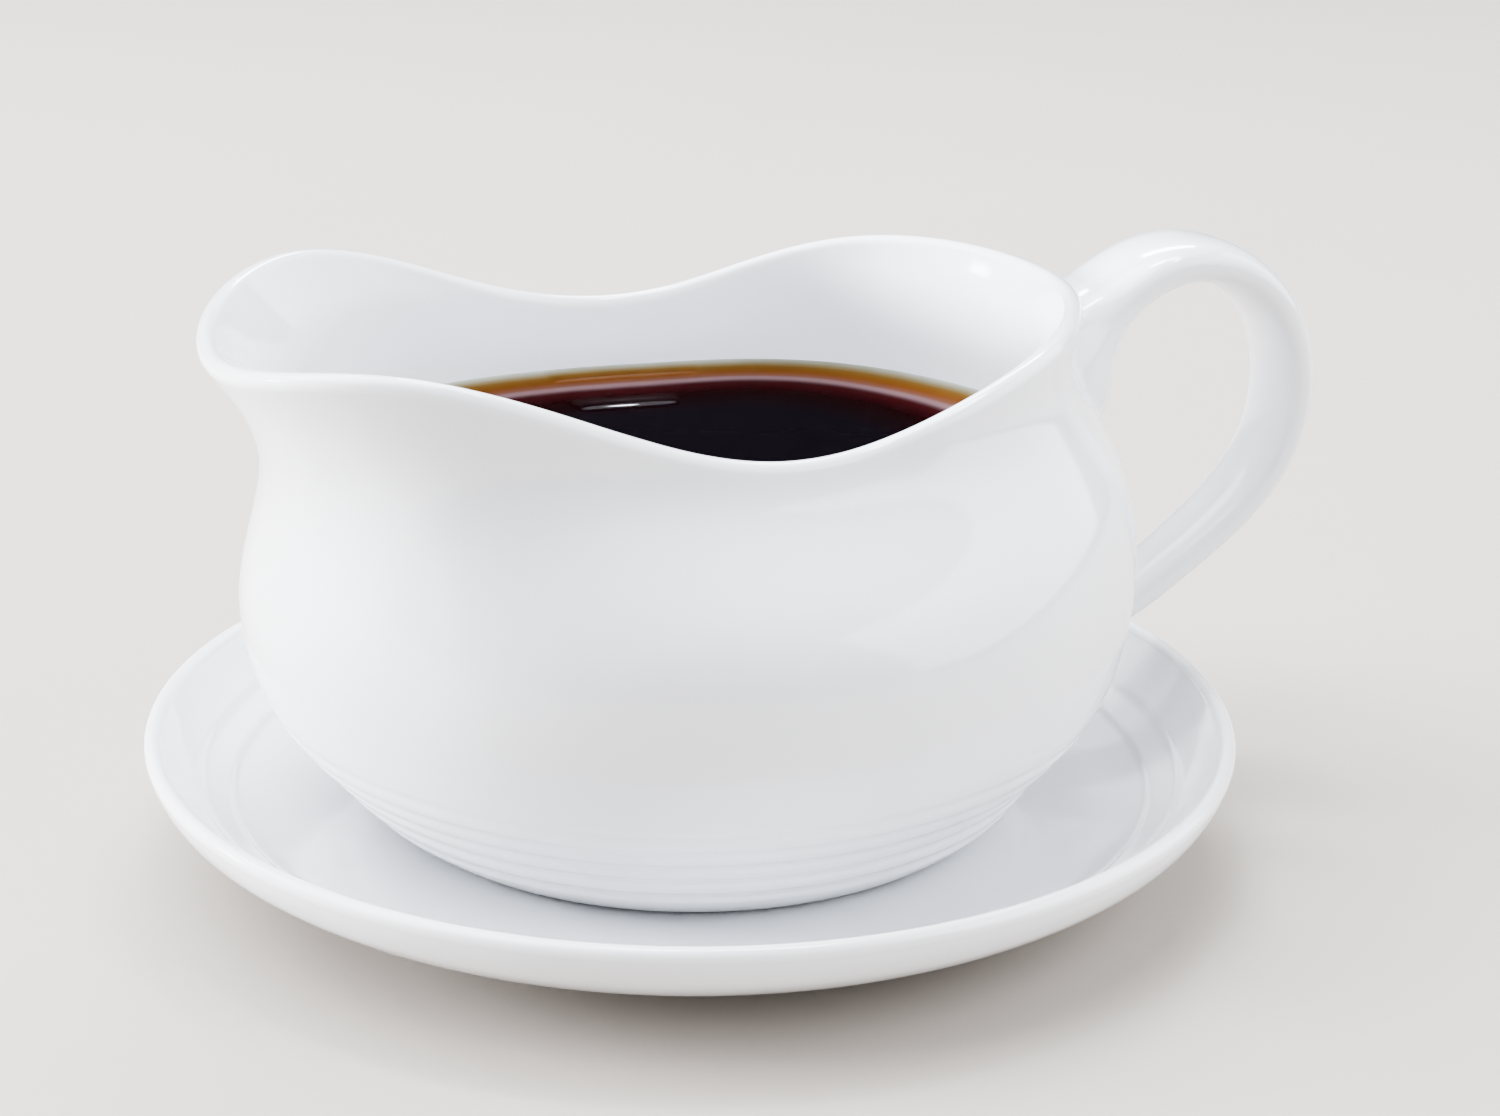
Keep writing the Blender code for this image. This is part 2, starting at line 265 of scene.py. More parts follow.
def spline(knots, values, at):
    """Natural cubic spline; values may hold one column for each curve."""
    knots = np.asarray(knots, float)
    values = np.asarray(values, float)
    steps = np.diff(knots)
    count = len(knots)
    matrix = np.eye(count)
    right = np.zeros_like(values)
    for i in range(1, count - 1):
        matrix[i, i - 1:i + 2] = (steps[i - 1], 2.0 * (steps[i - 1] + steps[i]), steps[i])
        rise = (values[i + 1] - values[i]) / steps[i]
        right[i] = 6.0 * (rise - (values[i] - values[i - 1]) / steps[i - 1])
    bend = np.linalg.solve(matrix, right)
    at = np.atleast_1d(at)
    cell = np.clip(np.searchsorted(knots, at) - 1, 0, count - 2)
    column = (-1,) + (1,) * (values.ndim - 1)
    after = ((at - knots[cell]) / steps[cell]).reshape(column)
    before = 1.0 - after
    curve = (before ** 3 - before) * bend[cell] + (after ** 3 - after) * bend[cell + 1]
    scale = (steps[cell] ** 2 / 6.0).reshape(column)
    return before * values[cell] + after * values[cell + 1] + curve * scale


def rounded(points, passes):
    """Corner cutting: an open outline becomes a smooth one through its edges."""
    points = np.asarray(points, float)
    for _ in range(passes):
        early = 0.75 * points[:-1] + 0.25 * points[1:]
        late = 0.25 * points[:-1] + 0.75 * points[1:]
        inner = np.stack([early, late], axis=1).reshape(-1, 2)
        points = np.vstack([points[:1], inner[1:-1], points[-1:]])
    return points


def circle_angles(segments):
    return np.linspace(0.0, 2.0 * math.pi, segments, endpoint=False)


# ---------------------------------------------------------------- meshes

def mesh_piece(name, points, faces, materials, face_slots=None):
    """A smooth mesh object in the model's frame, marked with how far its points stand out."""
    mesh = bpy.data.meshes.new(name)
    mesh.from_pydata(np.asarray(points).tolist(), [], faces)
    for material in materials:
        mesh.materials.append(material)
    if face_slots is not None:
        mesh.polygons.foreach_set("material_index", np.asarray(face_slots, np.int32))
    mesh.shade_smooth()
    mark_curvature(mesh)
    piece = bpy.data.objects.new(name, mesh)
    bpy.context.scene.collection.objects.link(piece)
    return piece


def mark_curvature(mesh):
    """Stores how far each point stands out of its neighbours, in turns per metre.

    Glaze runs thin where the surface stands out and gathers where it is hollow; the hollows are also given
    painted shade.
    """
    count = len(mesh.vertices)
    places = np.zeros(count * 3)
    mesh.vertices.foreach_get("co", places)
    places = places.reshape(-1, 3)
    normals = np.zeros(count * 3)
    mesh.vertices.foreach_get("normal", normals)
    normals = normals.reshape(-1, 3)
    ends = np.zeros(len(mesh.edges) * 2, np.int32)
    mesh.edges.foreach_get("vertices", ends)
    first, second = ends.reshape(-1, 2).T
    run = places[second] - places[first]
    square = np.maximum((run ** 2).sum(axis=1), 1e-12)
    weight = np.zeros(count)
    total = np.zeros(count)
    for here, there, sign in ((first, second, 1.0), (second, first, -1.0)):
        bend = -sign * (run * normals[here]).sum(axis=1) / square
        np.add.at(total, here, bend)
        np.add.at(weight, here, 1.0)
    curvature = total / np.maximum(weight, 1.0)
    for _ in range(6):
        spread = np.zeros(count)
        np.add.at(spread, first, curvature[second])
        np.add.at(spread, second, curvature[first])
        curvature = 0.5 * curvature + 0.5 * spread / np.maximum(weight, 1.0)
    attribute = mesh.attributes.new("standing_out", "FLOAT", "POINT")
    attribute.data.foreach_set("value", curvature.astype(np.float32))


def grid_faces(rows, count):
    """Quads between rows of points, each row going round."""
    faces = []
    for start in range(0, (rows - 1) * count, count):
        above = start + count
        for i in range(count):
            j = (i + 1) % count
            faces.append((start + i, start + j, above + j, above + i))
    return faces


def capped_rows(rows, first_pole, last_pole):
    """Points and faces of rows that go round, closed by a pole at each end."""
    count = len(rows[0])
    points = np.vstack(list(rows) + [[first_pole], [last_pole]])
    faces = grid_faces(len(rows), count)
    start = len(points) - 2
    last = (len(rows) - 1) * count
    for i in range(count):
        j = (i + 1) % count
        faces.append((start, j, i))
        faces.append((start + 1, last + i, last + j))
    return points, faces


def bare_slots(faces, outline, level, segments):
    """Slot 1 for the faces in rows of the outline that lie below the level, slot 0 for the rest."""
    slots = np.zeros(len(faces), np.int32)
    for row in np.nonzero(outline[:-1, 1] < level)[0]:
        slots[row * segments:(row + 1) * segments] = 1
    return slots


def around_axis(radius, height, angles):
    """Points of one row about the bowl's axis."""
    flat = 0.0 * angles
    return np.stack([AXIS_X + radius * np.cos(angles), radius * np.sin(angles), height + flat], axis=-1)


# ---------------------------------------------------------------- bowl

def rim_curve(angles):
    """Radius and height of the lip crest, the same on both sides of the bowl."""
    stations = np.array(RIM_STATIONS)
    low = stations[3:0:-1] * (-1.0, 1.0, 1.0)
    high = stations[-2:-5:-1] * (-1.0, 1.0, 1.0) + (360.0, 0.0, 0.0)
    table = np.vstack([low, stations, high])
    folded = np.degrees(np.abs((angles + math.pi) % (2.0 * math.pi) - math.pi))
    return spline(table[:, 0], table[:, 1:], folded).T


def section_table(angles, lip_radius):
    """Radius and height of the outer wall's control rows, a column for each angle."""
    cosine = np.cos(angles)
    at_handle = np.maximum(cosine, 0.0) ** 2
    at_spout = np.maximum(-cosine, 0.0) ** 2
    at_side = 1.0 - cosine ** 2
    crest_radius, crest_height = rim_curve(angles)
    rim_radius = crest_radius + lip_radius
    rim_height = crest_height - lip_radius / 2.0
    radii = [radius - BASE_LEAN * share * cosine for _, radius, share in BASE_ROWS]
    heights = [height + 0.0 * angles for height, _, _ in BASE_ROWS]
    belly_radius = radii[-1]
    belly_height = heights[-1]
    for climb, shape, handle, side, spout in (SHOULDER, NECK):
        stand = handle * at_handle + side * at_side + spout * at_spout
        radii.append((1.0 - shape) * belly_radius + shape * rim_radius + stand)
        heights.append(belly_height + climb * (rim_height - belly_height))
    radii.append(rim_radius)
    heights.append(rim_height)
    return np.array(radii), np.array(heights)


def outer_wall(angles, parameters, lip_radius):
    """Outer wall and its normals in each section, as rows by angles."""
    radii, heights = section_table(angles, lip_radius)
    step = 0.002
    inside = np.clip(parameters, step, 1.0 - step)
    radius = spline(SECTION_KNOTS, radii, parameters)
    height = spline(SECTION_KNOTS, heights, parameters)
    run = spline(SECTION_KNOTS, radii, inside + step) - spline(SECTION_KNOTS, radii, inside - step)
    rise = spline(SECTION_KNOTS, heights, inside + step) - spline(SECTION_KNOTS, heights, inside - step)
    length = np.hypot(run, rise)
    return radius, height, rise / length, -run / length


def inner_wall(angles, parameters, lip_radius):
    """Inner wall: the outer one moved in by a wall that thins towards the lip."""
    radius, height, out_r, out_z = outer_wall(angles, parameters, lip_radius)
    thick = BASE_WALL + (2.0 * lip_radius - BASE_WALL) * parameters[:, None]
    return radius - thick * out_r, height - thick * out_z


def ring_grooves(height, bowl):
    """How far the turned rings cut into the wall: narrow grooves, rounded lands."""
    depth = 0.0 * height
    for i in range(bowl.ring_count):
        middle = bowl.ring_first + i * bowl.ring_pitch
        phase = np.clip(np.abs(height - middle) / (bowl.ring_pitch / 2.0), 0.0, 1.0)
        groove = (0.5 + 0.5 * np.cos(phase * math.pi)) ** RING_SHARPNESS
        depth += (bowl.ring_depth - i * bowl.ring_fade) * groove
    return depth


def foot_outline():
    """Underside of the bowl, from its axis to the outer edge of the foot ring."""
    outer = BASE_ROWS[0][1]
    inner = outer - FOOT_RING_WIDTH
    roof = SEAT + FOOT_RECESS
    return rounded([(10.0 * MM, roof), (30.0 * MM, roof), (inner - 1.4 * MM, roof),
                    (inner - 0.3 * MM, roof - 0.3 * MM), (inner, SEAT + 0.5 * MM),
                    (inner + 0.5 * MM, SEAT), (inner + 1.6 * MM, SEAT),
                    (outer - 0.5 * MM, SEAT), (outer - 0.1 * MM, SEAT + 0.2 * MM)], 3)


def build_bowl(bowl, materials):
    """Foot, ringed outer wall, rolled lip and inside, as rows of points that go round."""
    angles = circle_angles(bowl.segments)
    foot = foot_outline()
    rows = [around_axis(radius, height, angles) for radius, height in foot]
    ringed = np.linspace(0.012, SECTION_KNOTS[4], RINGED_ROWS)
    parameters = np.concatenate([ringed, np.linspace(SECTION_KNOTS[4], 1.0, PLAIN_ROWS)[1:]])
    radius, height, out_r, out_z = outer_wall(angles, parameters, bowl.lip_radius)
    cut = ring_grooves(height, bowl)
    rows += [around_axis(radius[i] - cut[i], height[i], angles) for i in range(len(parameters))]
    middle_r = radius[-1] - bowl.lip_radius * out_r[-1]
    middle_z = height[-1] - bowl.lip_radius * out_z[-1]
    for turn in np.radians(np.arange(LIP_STEP, 180.0, LIP_STEP)):
        along, up = bowl.lip_radius * math.cos(turn), bowl.lip_radius * math.sin(turn)
        rows.append(around_axis(middle_r + along * out_r[-1] - up * out_z[-1],
                                middle_z + along * out_z[-1] + up * out_r[-1], angles))
    inside = np.linspace(1.0, SECTION_KNOTS[2] + 0.04, INSIDE_ROWS)
    inner_r, inner_z = inner_wall(angles, inside, bowl.lip_radius)
    rows += [around_axis(inner_r[i], inner_z[i], angles) for i in range(INSIDE_ROWS)]
    for share in np.linspace(1.0, 0.0, FLOOR_ROWS)[1:-1]:
        lift = (inner_z[-1] - INNER_FLOOR) * share ** FLOOR_CURL
        rows.append(around_axis(inner_r[-1] * share, INNER_FLOOR + lift, angles))
    points, faces = capped_rows(rows, (AXIS_X, 0.0, SEAT + FOOT_RECESS), (AXIS_X, 0.0, INNER_FLOOR))
    slots = bare_slots(faces, foot, SEAT + BARE_FOOT, bowl.segments)
    return mesh_piece("glazed_bowl", points, faces, materials, slots)


# ---------------------------------------------------------------- handle

def strap_points(shares, turns, handle):
    """Points of the strap's skin at shares of its line, which runs straight on past its ends."""
    line = np.array(HANDLE_LINE)
    chords = np.hypot(*np.diff(line, axis=0).T)
    knots = np.concatenate([[0.0], np.cumsum(chords)]) / chords.sum()
    beyond = shares.ravel() - np.clip(shares.ravel(), 0.0, 1.0)
    flat = shares.ravel() - beyond
    step = 0.001
    ahead = spline(knots, line, np.clip(flat + step, 0.0, 1.0))
    along = ahead - spline(knots, line, np.clip(flat - step, 0.0, 1.0))
    along /= np.linalg.norm(along, axis=1)[:, None]
    centre = spline(knots, line, flat) + along * (beyond * chords.sum())[:, None]
    flare = handle.root_flare * np.exp(-(flat / FLARE_LENGTH) ** 2)
    flare += handle.foot_flare * np.exp(-((1.0 - flat) / FLARE_LENGTH) ** 2)
    width = handle.width_rim + flat * (handle.width_belly - handle.width_rim)
    thickness = handle.thickness_rim + flat * (handle.thickness_belly - handle.thickness_rim)
    half_width = width / 2.0 + flare / 3.0
    half_deep = thickness / 2.0 + flare
    power = 2.0 / STRAP_SQUARENESS
    turn = np.broadcast_to(turns, shares.shape).ravel()
    wide = np.sign(np.cos(turn)) * np.abs(np.cos(turn)) ** power * half_width
    deep = np.sign(np.sin(turn)) * np.abs(np.sin(turn)) ** power * half_deep
    points = np.stack([centre[:, 0] - along[:, 1] * deep, wide, centre[:, 1] + along[:, 0] * deep], axis=1)
    return points.reshape(shares.shape + (3,))


class WallMap:
    """Radius of the bowl's outer wall at an angle and a height near the handle."""

    def __init__(self, lip_radius):
        self.angles = np.linspace(-0.6, 0.6, 121)
        self.levels = np.linspace(15.0 * MM, 80.0 * MM, 260)
        radius, height, _, _ = outer_wall(self.angles, np.linspace(0.0, 1.0, 400), lip_radius)
        columns = [np.interp(self.levels, height[:, i], radius[:, i]) for i in range(len(self.angles))]
        self.table = np.array(columns)
        self.rim = height[-1].min()

    def cell(self, marks, at):
        """Place of a value among the marks, counted in cells."""
        count = len(marks)
        return np.clip(np.interp(at, marks, np.arange(count)), 0, count - 1.001)

    def radius(self, angle, level):
        across = self.cell(self.angles, angle)
        up = self.cell(self.levels, level)
        i, j = across.astype(int), up.astype(int)
        u, v = across - i, up - j
        return ((1 - u) * (1 - v) * self.table[i, j] + u * (1 - v) * self.table[i + 1, j]
                + (1 - u) * v * self.table[i, j + 1] + u * v * self.table[i + 1, j + 1])

    def gap(self, points):
        """Distance outside the wall, along the radius."""
        angle = np.arctan2(points[..., 1], points[..., 0])
        return np.hypot(points[..., 0], points[..., 1]) - self.radius(angle, points[..., 2])

    def onto(self, points, sink):
        """The points moved along the radius on to the wall, and in by a little."""
        angle = np.arctan2(points[..., 1], points[..., 0])
        level = np.minimum(points[..., 2], self.rim)
        radius = self.radius(angle, level) - sink
        return np.stack([radius * np.cos(angle), radius * np.sin(angle), level], axis=-1)


def root_shares(wall, turns, handle, shares):
    """Where each line along the strap's skin meets the wall."""
    gaps = wall.gap(strap_points(shares[:, None] + 0.0 * turns, turns, handle))
    found = []
    for column in gaps.T:
        inside = np.nonzero(column < 0.0)[0]
        i = inside.max() if shares[0] < 0.5 else inside.min() - 1
        found.append(shares[i] + (shares[i + 1] - shares[i]) * column[i] / (column[i] - column[i + 1]))
    return np.array(found)


def fillet_rows(wall, turns, handle, corner_share, direction):
    """Rows from the wall to the strap, tangent to both."""
    reach = handle.fillet
    line_length = np.hypot(*np.diff(np.array(HANDLE_LINE), axis=0).T).sum()
    strap_share = corner_share + direction * reach / line_length
    on_strap = strap_points(strap_share[None, :], turns, handle)[0]
    corner = strap_points(corner_share[None, :], turns, handle)[0]
    outward = corner - corner.mean(axis=0)
    outward -= outward[:, :1] * (1.0, 0.0, 0.0) * 0.5
    outward /= np.linalg.norm(outward, axis=1)[:, None]
    room = np.clip((wall.rim - corner[:, 2]) / reach, 0.1, 1.0)
    spread = np.where(outward[:, 2] > 0.0, room, 1.0) * reach
    on_wall = wall.onto(corner + outward * spread[:, None], FILLET_SINK)
    rows = []
    for share in np.linspace(0.0, 1.0, FILLET_ROWS):
        rows.append((1 - share) ** 2 * on_wall + 2 * share * (1 - share) * corner + share ** 2 * on_strap)
    inside = wall.onto(on_wall, ROOT_SINK)
    return [0.5 * (inside + inside.mean(axis=0)), inside] + rows, strap_share


def build_handle(bowl, handle, materials):
    """Strap handle whose roots run out on to the bowl in a glazed fillet."""
    turns = circle_angles(STRAP_SEGMENTS)
    wall = WallMap(bowl.lip_radius)
    upper = root_shares(wall, turns, handle, np.linspace(*UPPER_ROOT, ROOT_STEPS))
    lower = root_shares(wall, turns, handle, np.linspace(*LOWER_ROOT, ROOT_STEPS))
    first, start = fillet_rows(wall, turns, handle, upper, 1.0)
    second, end = fillet_rows(wall, turns, handle, lower, -1.0)
    shares = start + (end - start) * np.linspace(0.0, 1.0, STRAP_ROWS)[1:-1, None]
    middle = list(strap_points(shares, turns, handle))
    rows = first + middle + second[::-1]
    shift = np.array((AXIS_X, 0.0, 0.0))
    rows = [row + shift for row in rows]
    points, faces = capped_rows(rows, rows[0].mean(axis=0), rows[-1].mean(axis=0))
    return mesh_piece("glazed_handle", points, faces, materials)


# ---------------------------------------------------------------- saucer

def saucer_outline(saucer):
    """Turned section: well, stepped wall, rolled lip, underside, foot ring."""
    rim = SAUCER_HIGH.x - AXIS_X
    lip = saucer.lip_radius
    lip_r = rim - lip
    lip_z = SAUCER_HIGH.z - lip
    upper = [(8.0, 6.0), (30.0, 6.0), (45.0, 6.0), (52.0, 6.2), (58.0, 6.8), (63.5, 7.75), (66.0, 8.5),
             (66.7, 8.9), (67.3, 9.6), (68.2, 10.0), (70.4, 10.9), (71.1, 11.5), (71.7, 12.4), (72.6, 13.1),
             (74.2, 14.7), (75.4, 16.3)]
    arc = []
    for turn in np.radians(np.arange(165.0, -20.0, -12.0)):
        arc.append((lip_r + lip * math.cos(turn), lip_z + lip * math.sin(turn)))
    lower = [(78.4, 15.4), (77.0, 13.0), (75.0, 11.2), (72.4, 9.4), (69.0, 7.5), (63.0, 5.4), (55.0, 3.8),
             (49.0, 3.1), (47.4, 2.8), (46.9, 1.8), (46.7, 0.5), (46.2, 0.0), (44.9, 0.0), (43.7, 0.0),
             (43.2, 0.5), (42.8, 1.8), (42.2, 2.35), (38.0, 2.4), (20.0, 2.4), (8.0, 2.4)]
    outline = [(r * MM, z * MM) for r, z in upper] + arc + [(r * MM, z * MM) for r, z in lower]
    return rounded(outline, 3)


def build_saucer(saucer, materials):
    """The turned section carried round the saucer's axis."""
    outline = saucer_outline(saucer)
    angles = circle_angles(saucer.segments)
    rows = [around_axis(radius, height, angles) for radius, height in outline]
    top, bottom = outline[0, 1], outline[-1, 1]
    points, faces = capped_rows(rows, (AXIS_X, 0.0, top), (AXIS_X, 0.0, bottom))
    faces = [tuple(reversed(face)) for face in faces]
    slots = bare_slots(faces, outline, BARE_SAUCER_FOOT, saucer.segments)
    return mesh_piece("glazed_saucer", points, faces, materials, slots)


# ---------------------------------------------------------------- gravy

def ripple_shares(distance, angles):
    """Height of the ripples, and how much of a steep front is there, from 0 to 1."""
    height = 0.0 * angles
    front = 0.0 * angles
    for place, middle, half, crest, steep in RIPPLES:
        turn = np.clip(np.abs(np.degrees(angles) - middle) / half, 0.0, 1.0)
        along = np.cos(turn * math.pi / 2.0) ** RIPPLE_TAPER
        width = steep if distance > place else RIPPLE_BACK
        height += crest * along * math.exp(-0.5 * ((distance - place) / width) ** 2)
        past_front = (distance - place - steep) / (RIPPLE_SHEEN * steep)
        front += along * math.exp(-0.5 * past_front ** 2)
    return height, front


def mark_rows(mesh, name, rows, last_pole):
    """Stores a value for each point of capped rows, with 0 at the first pole."""
    attribute = mesh.attributes.new(name, "FLOAT", "POINT")
    attribute.data.foreach_set("value", np.concatenate(rows + [[0.0, last_pole]]).astype(np.float32))


def build_gravy(bowl, gravy, material):
    """The gravy as it fills the bowl, with an edge that climbs the wall and two slow ripples."""
    angles = circle_angles(2 * bowl.segments)
    inner_r, inner_z = inner_wall(angles, np.linspace(1.0, 0.2, 200), bowl.lip_radius)

    def wall_at(level):
        columns = zip(inner_z[::-1].T, inner_r[::-1].T)
        return np.array([np.interp(level, heights, radii) for heights, radii in columns])

    bottom = INNER_FLOOR + GRAVY_DEPTH_LEFT_OUT
    edge_level = gravy.level + gravy.climb
    edge = wall_at(edge_level) + GRAVY_SINK
    flat = 0.0 * angles
    wetted = np.linspace(bottom, edge_level, WETTED_ROWS)[:-1]
    rows = [around_axis(wall_at(level) - GRAVY_CLEARANCE, level, angles) for level in wetted]
    rows.append(around_axis(edge, edge_level, angles))
    shore = [flat] * WETTED_ROWS
    ripples = [flat] * WETTED_ROWS
    distances = np.concatenate([np.linspace(*span) for span in SURFACE_SPANS])
    for distance in distances * MM:
        height, front = ripple_shares(distance, angles)
        climb = gravy.climb * math.exp(-distance / gravy.climb_reach)
        rows.append(around_axis(edge - distance, gravy.level + climb + gravy.ripple * height, angles))
        shore.append(distance + flat)
        ripples.append(front)
    points, faces = capped_rows(rows, (AXIS_X, 0.0, bottom), (AXIS_X, 0.0, gravy.level))
    piece = mesh_piece("gravy_filling", points, faces, [material])
    mark_rows(piece.data, "from_wall", shore, distances[-1] * MM)
    mark_rows(piece.data, "ripple_front", ripples, 0.0)
    return piece


# ---------------------------------------------------------------- finishes

class Signal:
    """A socket in a material's node tree; arithmetic on it adds Math nodes."""

    def __init__(self, finish, socket):
        self.finish = finish
        self.socket = socket

    def math(self, operation, first, second):
        return self.finish.node("ShaderNodeMath", {"operation": operation}, {0: first, 1: second})

    def __add__(self, other):
        return self.math("ADD", self, other)

    __radd__ = __add__

    def __sub__(self, other):
        return self.math("SUBTRACT", self, other)

    def __rsub__(self, other):
        return self.math("SUBTRACT", other, self)

    def __mul__(self, other):
        return self.math("MULTIPLY", self, other)

    __rmul__ = __mul__

    def __lt__(self, other):
        return self.math("LESS_THAN", self, other)

    def __gt__(self, other):
        return self.math("GREATER_THAN", self, other)


class Finish:
    """One material, built node by node."""

    def __init__(self, name):
        self.material = bpy.data.materials.new(name)
        self.material.use_nodes = True
        self.tree = self.material.node_tree
        self.tree.nodes.clear()
        self.place = self.node("ShaderNodeTexCoord", output="Object")

    def node(self, kind, settings=None, sockets=None, output=0):
        made = self.tree.nodes.new(kind)
        for name, value in (settings or {}).items():
            if name == "stops":
                self.set_stops(made.color_ramp, value)
            else:
                setattr(made, name, value)
        for name, value in (sockets or {}).items():
            if isinstance(value, Signal):
                self.tree.links.new(value.socket, made.inputs[name])
            else:
                made.inputs[name].default_value = value
        return Signal(self, made.outputs[output])

    def set_stops(self, ramp, stops):
        while len(ramp.elements) > len(stops):
            ramp.elements.remove(ramp.elements[-1])
        while len(ramp.elements) < len(stops):
            ramp.elements.new(1.0)
        for element, (position, color) in zip(ramp.elements, stops):
            element.position = position
            element.color = (*color, 1.0)

    def noise(self, scale, detail=2.0, distortion=0.0):
        """Soft noise, scale in features to the metre."""
        return self.node("ShaderNodeTexNoise", {}, {"Vector": self.place, "Scale": scale, "Detail": detail,
                                                    "Distortion": distortion})

    def between(self, value, low, high):
        """0 below low, 1 above high, smooth in the middle."""
        return self.node("ShaderNodeMapRange", {"interpolation_type": "SMOOTHSTEP"},
                         {"Value": value, "From Min": low, "From Max": high})

    def mix(self, share, first, second):
        """The first colour at share 0 and the second at 1."""
        start, end = [c if isinstance(c, Signal) else (*c, 1.0) for c in (first, second)]
        return self.node("ShaderNodeMix", {"data_type": "RGBA"}, {0: share, 6: start, 7: end}, output=2)

    def clouded(self, color, factor, share):
        """A colour that drifts to a multiple of itself with the share."""
        return self.mix(share, tuple(color), tuple(factor * c for c in color))

    def attribute(self, name):
        return self.node("ShaderNodeAttribute", {"attribute_name": name}, output="Fac")

    def bump(self, height, distance, normal=None):
        sockets = {"Height": height, "Distance": distance, "Strength": 1.0}
        if normal:
            sockets["Normal"] = normal
        return self.node("ShaderNodeBump", {}, sockets)

    def close(self, **sockets):
        """Ends the material in a Principled shader with these sockets."""
        named = {name.replace("_", " "): value for name, value in sockets.items()}
        shader = self.node("ShaderNodeBsdfPrincipled", {}, named)
        output = self.tree.nodes.new("ShaderNodeOutputMaterial")
        self.tree.links.new(shader.socket, output.inputs["Surface"])
        return self.material


THIN_GLAZE = (40.0, 260.0)              # how far an edge stands out, where thinning starts and ends
HOLLOW_TINT_AND_SHADE = (15.0, 150.0)            # how hollow the surface is, where the pooled tint and its painted shade start and end
SPECK_SIZE = 0.018                      # in cells of the speck pattern
CLEAN_SHARE = 0.86                      # share of the cells that hold no speck
SPECK_COLOR = (0.30, 0.27, 0.24)        # iron specks under the glaze


def glaze_finish(name, glaze):
    """Cool white porcelain under a clear gloss glaze, with a pooled tint and painted shade in the hollows."""
    finish = Finish(name)
    standing = finish.attribute("standing_out")
    edge = finish.between(standing, *THIN_GLAZE)
    hollow = finish.between(standing * -1.0, *HOLLOW_TINT_AND_SHADE)
    cloud = finish.noise(34.0, 3.0)
    shade = finish.clouded(glaze.white, 0.975, finish.between(cloud, 0.3, 0.75))
    # pooled glaze tint, partly painted shade: it darkens the ring grooves and other hollows
    shade = finish.mix(hollow * 0.55, shade, tuple(glaze.pooled_and_shaded))
    shade = finish.mix(edge * 0.6, shade, tuple(glaze.thin))
    cells = {"Vector": finish.place, "Scale": 62.0}
    near = finish.node("ShaderNodeTexVoronoi", {}, cells, output="Distance")
    chosen = finish.node("ShaderNodeTexVoronoi", {}, cells, output="Color")
    lucky = finish.node("ShaderNodeSeparateColor", {}, {"Color": chosen}, output="Red")
    speck = (near < SPECK_SIZE) * (lucky > CLEAN_SHARE)
    shade = finish.mix(speck * 0.55, shade, SPECK_COLOR)
    wander = finish.noise(45.0, 2.0)
    peel = finish.noise(520.0, 1.0)
    swell = finish.bump(wander, 0.45 * MM)
    relief = finish.bump(peel, 0.006 * MM, normal=swell)
    gloss = glaze.roughness + 0.05 * finish.between(finish.noise(130.0, 4.0), 0.45, 0.8)
    return finish.close(Base_Color=shade, Roughness=gloss, Normal=relief, IOR=1.52,
                        Coat_Weight=0.25, Coat_Roughness=0.03)


def clay_finish(glaze):
    """Fired clay, ground flat and left without glaze."""
    finish = Finish("bare_clay")
    grain = finish.noise(2600.0, 3.0)
    cloud = finish.noise(160.0, 3.0)
    shade = finish.clouded(glaze.clay, 0.86, finish.between(grain, 0.35, 0.7))
    shade = finish.mix(cloud * 0.3, shade, (0.76, 0.73, 0.68))
    return finish.close(Base_Color=shade, Roughness=0.62 + 0.25 * grain, Normal=finish.bump(grain, 0.05 * MM))


# The gravy's colour, with a painted reflection in the mauve band from 7.9 to 8.8 mm: millimetres from the
# wall, colour there
GRAVY_TINTS_AND_PAINTED_REFLECTION = (
    (0.0, (0.66, 0.66, 0.62)),
    (0.6, (0.46, 0.44, 0.34)),
    (1.4, (0.33, 0.26, 0.14)),
    (2.3, (0.26, 0.15, 0.050)),
    (3.4, (0.24, 0.112, 0.032)),
    (4.9, (0.23, 0.090, 0.030)),
    (6.7, (0.22, 0.100, 0.065)),
    # painted reflection: a mauve line that stands in for the wall's image in the surface
    (7.9, (0.25, 0.160, 0.165)),
    (8.8, (0.23, 0.145, 0.150)),
    (9.9, (0.085, 0.046, 0.050)),
    (10.8, (0.048, 0.0066, 0.007)),
    (12.6, (0.034, 0.003, 0.004)),
    (15.6, (0.014, 0.0004, 0.0006)),
    (18.9, (0.010, 0.0018, 0.0025)),
    (25.2, (0.006, 0.0035, 0.0065)),
)
GRAVY_BANDS_REACH = 30.0


def gravy_finish():
    """Clouded amber edge, red-brown shallows with a painted mauve reflection line, almost black where it is
    deep.
    """
    finish = Finish("gravy")
    distance = finish.attribute("from_wall")
    drift = (finish.noise(60.0, 2.0) - 0.5) * (0.8 * MM)
    reach = (distance + drift) * (1.0 / (GRAVY_BANDS_REACH * MM))
    stops = [(place / GRAVY_BANDS_REACH, color) for place, color in GRAVY_TINTS_AND_PAINTED_REFLECTION]
    shade = finish.node("ShaderNodeValToRGB", {"stops": stops}, {"Fac": reach}, output="Color")
    film = finish.bump(finish.noise(70.0, 2.0), 0.03 * MM)
    gloss = 0.03 + 0.03 * finish.between(finish.noise(90.0, 3.0), 0.4, 0.8)
    skin = finish.between(finish.attribute("ripple_front"), 0.25, 0.7)
    return finish.close(Base_Color=shade, Roughness=gloss, Normal=film, IOR=1.35, Specular_IOR_Level=0.004,
                        Coat_Weight=skin, Coat_Roughness=0.03)


